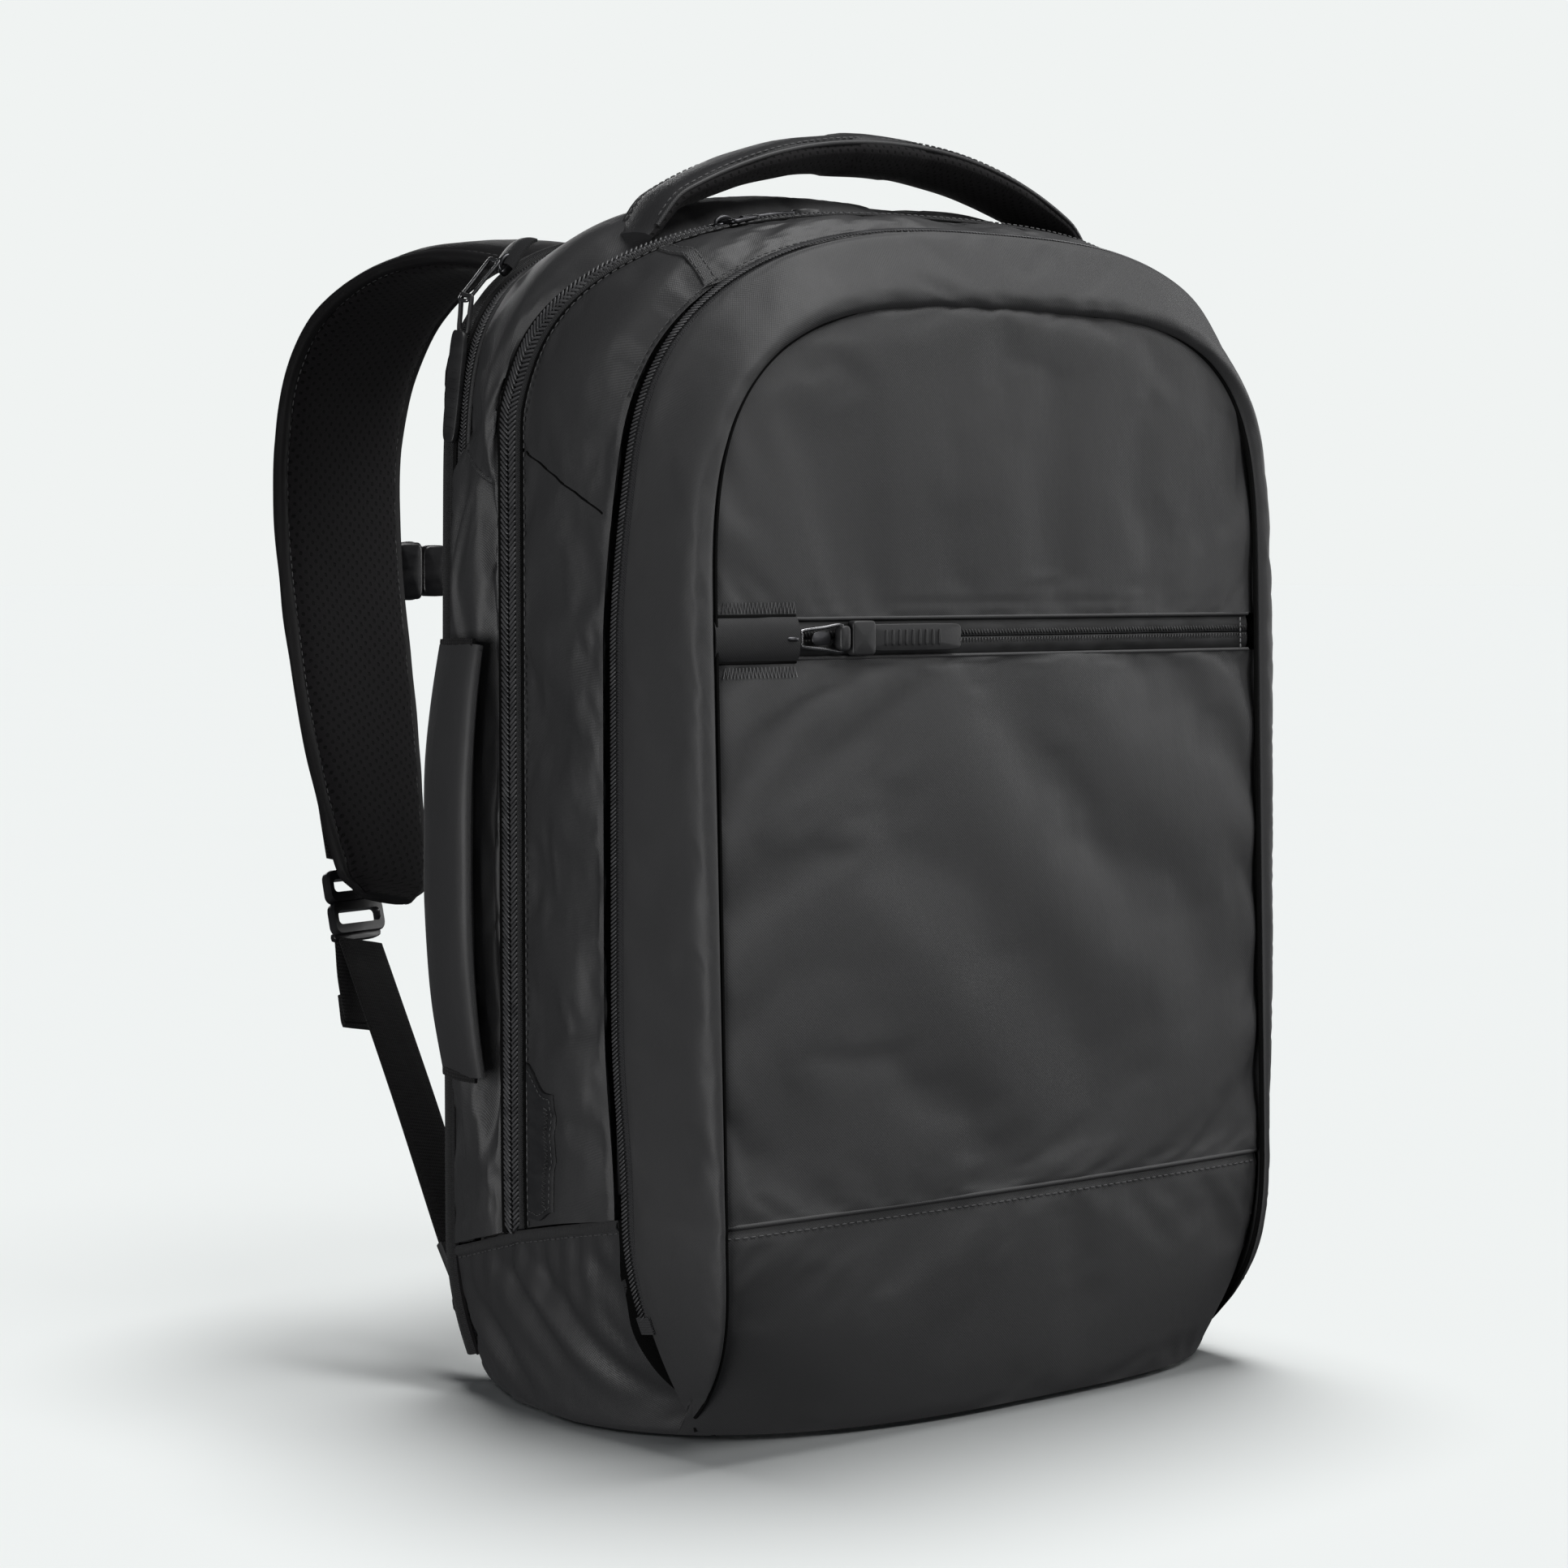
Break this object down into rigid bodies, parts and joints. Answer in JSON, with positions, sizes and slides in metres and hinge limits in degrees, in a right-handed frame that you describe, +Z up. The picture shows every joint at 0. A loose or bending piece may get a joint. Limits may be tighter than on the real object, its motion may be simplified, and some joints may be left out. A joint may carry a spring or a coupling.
{
  "type": "travel backpack",
  "caption": "Upright travel backpack with a padded front band, zipped compartments, grab handles and padded shoulder straps",
  "frame": {"origin": "on the floor, at the middle of the base panel's flat underside", "axes": "+Z up, -Y out of the front face, +Y out of the back panel, X across the bag"},
  "size_m": [0.3434, 0.3652, 0.5095],
  "materials": {
    "coated_fabric": "smooth coated laminate, soft sheen",
    "side_fabric": "coated fabric, softer and darker",
    "mesh_fabric": "perforated spacer mesh",
    "webbing": "woven nylon webbing",
    "zip_tape": "coated coil zip",
    "lining": "plain woven lining",
    "buckle_plastic": "moulded acetal, fine texture",
    "stiffener": "extruded sheet",
    "gunmetal": "dark plated metal"
  },
  "bodies": {
    "root": {"back_gusset": "side_fabric", "laptop_zip_tape": "zip_tape", "main_zip_rear_tape": "zip_tape", "base_panel": "side_fabric", "base_stiffener": "stiffener", "boot_side_left": "side_fabric", "boot_side_right": "side_fabric", "back_panel": "mesh_fabric", "frame_sheet": "stiffener", "laptop_divider": "lining", "side_handle_left": "side_fabric", "side_handle_right": "side_fabric", "strap_anchor_left": "webbing", "strap_anchor_right": "webbing"},
    "lid": {"front_gusset": "side_fabric", "main_zip_front_tape": "zip_tape", "front_zip_rear_tape": "zip_tape", "organiser_wall": "lining"},
    "front_panel": {"front_band": "coated_fabric", "panel_upper": "coated_fabric", "panel_lower": "coated_fabric", "boot_front": "coated_fabric", "front_zip_front_tape": "zip_tape", "pocket_zip_tape": "zip_tape", "pocket_lining": "lining", "pocket_zip_garage": "coated_fabric"},
    "top_handle": {"top_handle": "side_fabric"},
    "main_slider": {"main_slider": "gunmetal"},
    "main_pull": {"main_pull_wire": "gunmetal", "main_pull_tab": "buckle_plastic"},
    "laptop_slider": {"laptop_slider": "gunmetal"},
    "laptop_pull": {"laptop_pull_wire": "gunmetal", "laptop_pull_tab": "buckle_plastic"},
    "front_slider": {"front_slider": "gunmetal"},
    "front_pull": {"front_pull_wire": "gunmetal", "front_pull_tab": "buckle_plastic"},
    "pocket_slider": {"pocket_slider": "gunmetal"},
    "pocket_pull": {"pocket_pull_wire": "gunmetal", "pocket_pull_tab": "buckle_plastic"},
    "strap_left": {"shoulder_strap_left": "mesh_fabric", "strap_webbing_left": "webbing", "adjuster_webbing_left": "webbing", "sternum_clip_left": "buckle_plastic", "buckle_female": "buckle_plastic"},
    "strap_right": {"shoulder_strap_right": "mesh_fabric", "strap_webbing_right": "webbing", "adjuster_webbing_right": "webbing", "sternum_clip_right": "buckle_plastic", "sternum_webbing_right": "webbing"},
    "ladder_lock_left": {"ladder_lock_left": "buckle_plastic"},
    "ladder_lock_right": {"ladder_lock_right": "buckle_plastic"},
    "buckle_male": {"buckle_male": "buckle_plastic", "buckle_prongs": "buckle_plastic"}
  },
  "joints": [
    {"name": "lid_hinge", "type": "hinge", "parent": "root", "child": "lid", "pos_m": [0, -0.0925, 0.0105], "axis": [1, 0, 0], "range_deg": [0, 40]},
    {"name": "front_panel_hinge", "type": "hinge", "parent": "lid", "child": "front_panel", "pos_m": [0, -0.0925, 0.0105], "axis": [1, 0, 0], "range_deg": [0, 45]},
    {"name": "top_handle_tilt", "type": "hinge", "parent": "root", "child": "top_handle", "pos_m": [0, -0.002, 0.469], "axis": [1, 0, 0], "range_deg": [-12, 12]},
    {"name": "main_slider_slide", "type": "slide", "parent": "root", "child": "main_slider", "axis": [0.9817, 0.01, 0.1903], "range_m": [0, 0.02]},
    {"name": "main_pull_hinge", "type": "hinge", "parent": "main_slider", "child": "main_pull", "pos_m": [-0.093, -0.0265, 0.4681], "axis": [0, -1, 0], "range_deg": [0, 5]},
    {"name": "laptop_slider_slide", "type": "slide", "parent": "root", "child": "laptop_slider", "axis": [-0.6221, 0.0201, -0.7827], "range_m": [0, 0.012]},
    {"name": "laptop_pull_hinge", "type": "hinge", "parent": "laptop_slider", "child": "laptop_pull", "pos_m": [-0.1295, 0.0745, 0.4555], "axis": [0, 1, 0], "range_deg": [0, 60]},
    {"name": "front_slider_slide", "type": "slide", "parent": "front_panel", "child": "front_slider", "axis": [0, 0, -1], "range_m": [0, 0.1]},
    {"name": "front_pull_hinge", "type": "hinge", "parent": "front_slider", "child": "front_pull", "pos_m": [0.1554, -0.032, 0.24], "axis": [0, -1, 0], "range_deg": [0, 120]},
    {"name": "pocket_slider_slide", "type": "slide", "parent": "front_panel", "child": "pocket_slider", "axis": [1, 0, 0], "range_m": [0, 0.155]},
    {"name": "pocket_pull_hinge", "type": "hinge", "parent": "pocket_slider", "child": "pocket_pull", "pos_m": [-0.1034, -0.0864, 0.3061], "axis": [0, 0, -1], "range_deg": [0, 75]},
    {"name": "strap_left_swing", "type": "hinge", "parent": "root", "child": "strap_left", "pos_m": [-0.066, 0.1015, 0.4555], "axis": [0.1535, -0.0062, 0.9881], "range_deg": [0, 15]},
    {"name": "strap_right_swing", "type": "hinge", "parent": "root", "child": "strap_right", "pos_m": [0.066, 0.1015, 0.4555], "axis": [0.1535, 0.0062, -0.9881], "range_deg": [0, 15]},
    {"name": "ladder_lock_left_tilt", "type": "hinge", "parent": "strap_left", "child": "ladder_lock_left", "pos_m": [-0.1165, 0.202, 0.188], "axis": [-0.963, -0.2696, 0], "range_deg": [0, 25]},
    {"name": "ladder_lock_right_tilt", "type": "hinge", "parent": "strap_right", "child": "ladder_lock_right", "pos_m": [0.1165, 0.202, 0.188], "axis": [-0.963, 0.2696, 0], "range_deg": [0, 25]},
    {"name": "buckle_slide", "type": "slide", "parent": "strap_right", "child": "buckle_male", "axis": [1, 0, 0], "range_m": [0, 0.01]}
  ]
}
